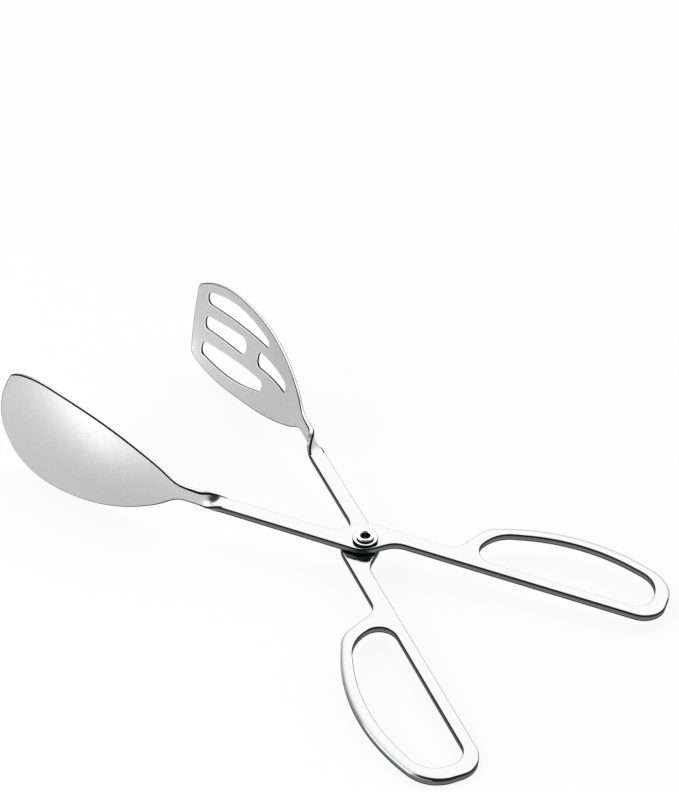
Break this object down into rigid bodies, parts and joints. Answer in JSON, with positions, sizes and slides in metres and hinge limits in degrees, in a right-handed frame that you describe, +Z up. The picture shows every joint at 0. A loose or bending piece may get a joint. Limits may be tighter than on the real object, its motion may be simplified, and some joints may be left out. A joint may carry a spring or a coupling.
{
  "type": "scissor serving tongs",
  "caption": "Scissor-action serving tongs in stainless steel: crossed arms on a tubular rivet, D-shaped finger loops, twisted necks, one spoon bowl and one slotted bowl facing each other.",
  "frame": {"origin": "on the table, under the middle of the footprint of the open tongs", "axes": "+X from the finger loops towards the bowls along the line that halves the opening, +Y towards the spoon bowl, +Z up from the table"},
  "size_m": [0.2514, 0.1244, 0.0443],
  "materials": {
    "spoon_arm_steel": "polished stainless steel, fine satin grain in the bowl",
    "slotted_arm_steel": "polished stainless steel, fine satin grain in the bowl",
    "rivet_steel": "bright formed stainless rivet",
    "washer_steel": "bright stainless washer"
  },
  "bodies": {
    "slotted_half": {"slotted_arm": "slotted_arm_steel", "pivot_rivet": "rivet_steel", "top_washer": "washer_steel"},
    "spoon_half": {"spoon_arm": "spoon_arm_steel"}
  },
  "joints": [
    {"name": "scissor_pivot", "type": "hinge", "parent": "slotted_half", "child": "spoon_half", "pos_m": [-0.0304, 0, 0.01009], "axis": [-0.0764, 0, 0.9971], "range_deg": [-33, 15]}
  ]
}
